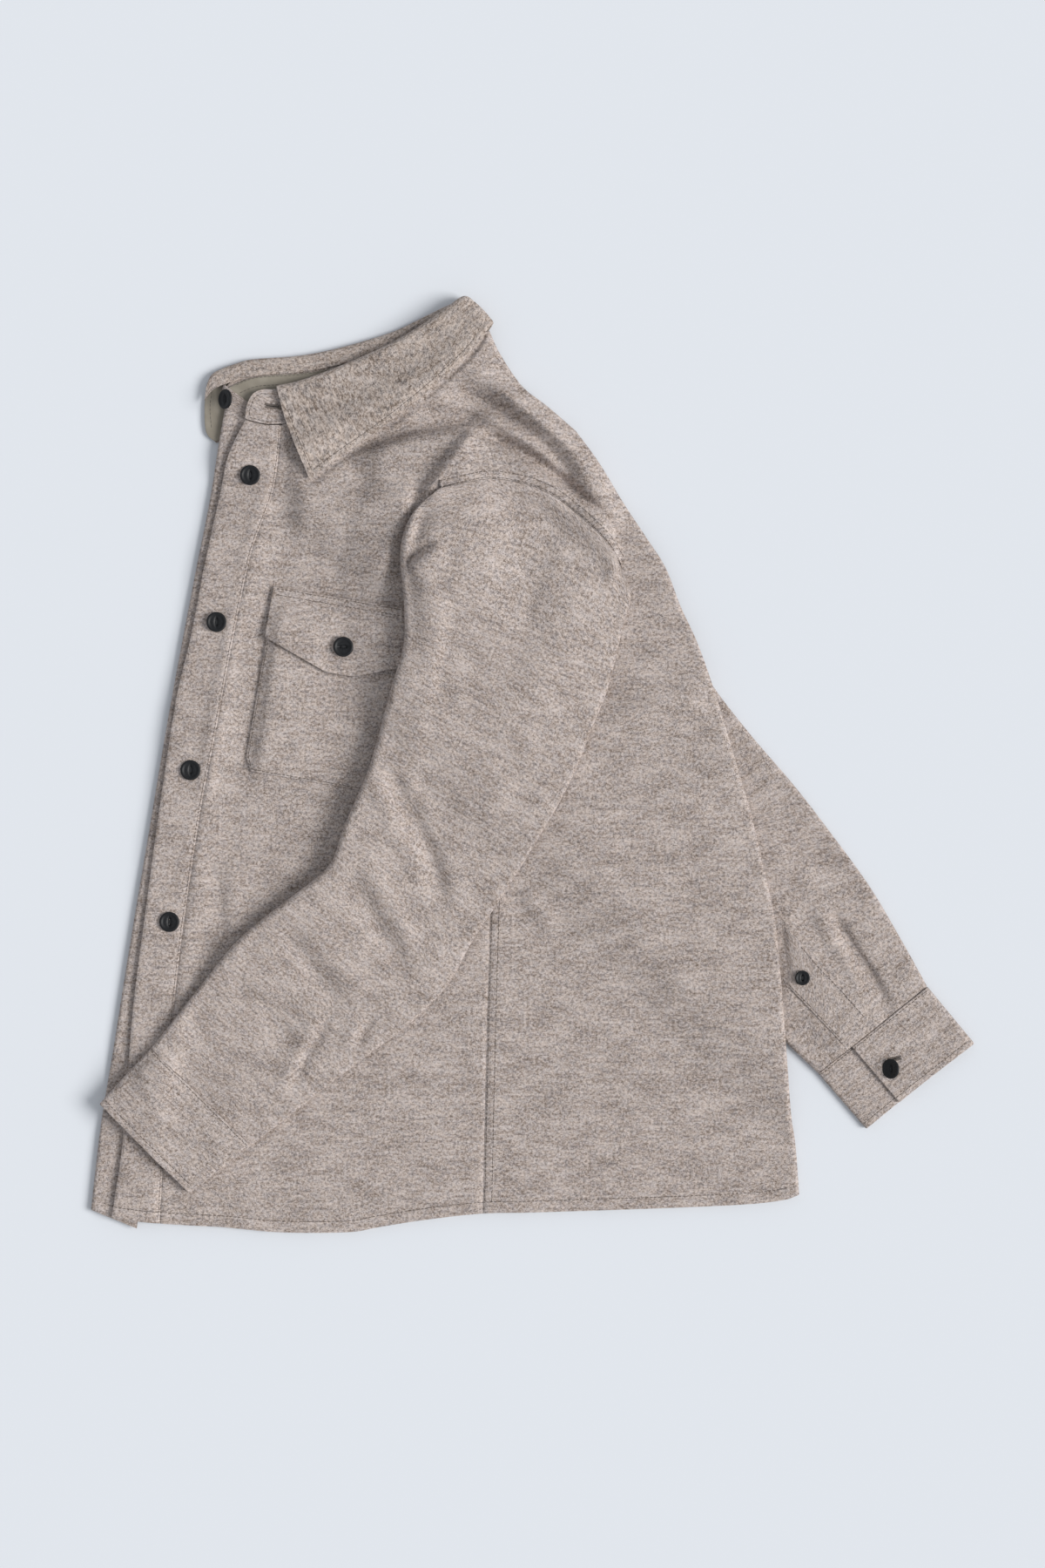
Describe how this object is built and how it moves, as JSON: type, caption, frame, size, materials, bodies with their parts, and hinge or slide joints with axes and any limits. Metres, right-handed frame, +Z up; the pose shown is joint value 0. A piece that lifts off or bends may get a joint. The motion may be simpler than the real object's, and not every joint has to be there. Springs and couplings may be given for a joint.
{
  "type": "shacket",
  "caption": "Hip-length wool shirt jacket laid flat on its right side, shirt collar, buttoned placket, chest pocket with pointed flap, cuffed sleeves.",
  "frame": {"origin": "centre of the overall box, on the surface that the garment lies on", "axes": "+Z up out of the surface, +Y up the garment from the hem to the collar, +X towards the garment's back as it lies on its right side"},
  "size_m": [0.712, 0.7537, 0.0358],
  "materials": {
    "wool": "napped melange wool, taupe",
    "greige_cotton": "smooth cotton twill, greige",
    "navy_button": "satin dark navy, turned"
  },
  "bodies": {
    "root": {"left_front": "wool", "left_front_placket": "wool", "right_front": "wool", "back": "wool", "yoke": "wool", "left_sleeve": "wool", "left_cuff": "wool", "right_sleeve": "wool", "right_sleeve_placket": "wool", "right_cuff": "wool", "left_chest_pocket": "wool", "left_pocket_flap": "wool", "collar_leaf": "wool", "collar_stand": "wool", "under_collar": "greige_cotton", "stand_facing": "greige_cotton", "button_front_1": "navy_button", "button_front_2": "navy_button", "button_front_3": "navy_button", "button_front_4": "navy_button", "button_front_5": "navy_button", "button_collar": "navy_button", "button_pocket": "navy_button", "button_sleeve_placket": "navy_button", "button_cuff_right": "navy_button"}
  },
  "joints": []
}
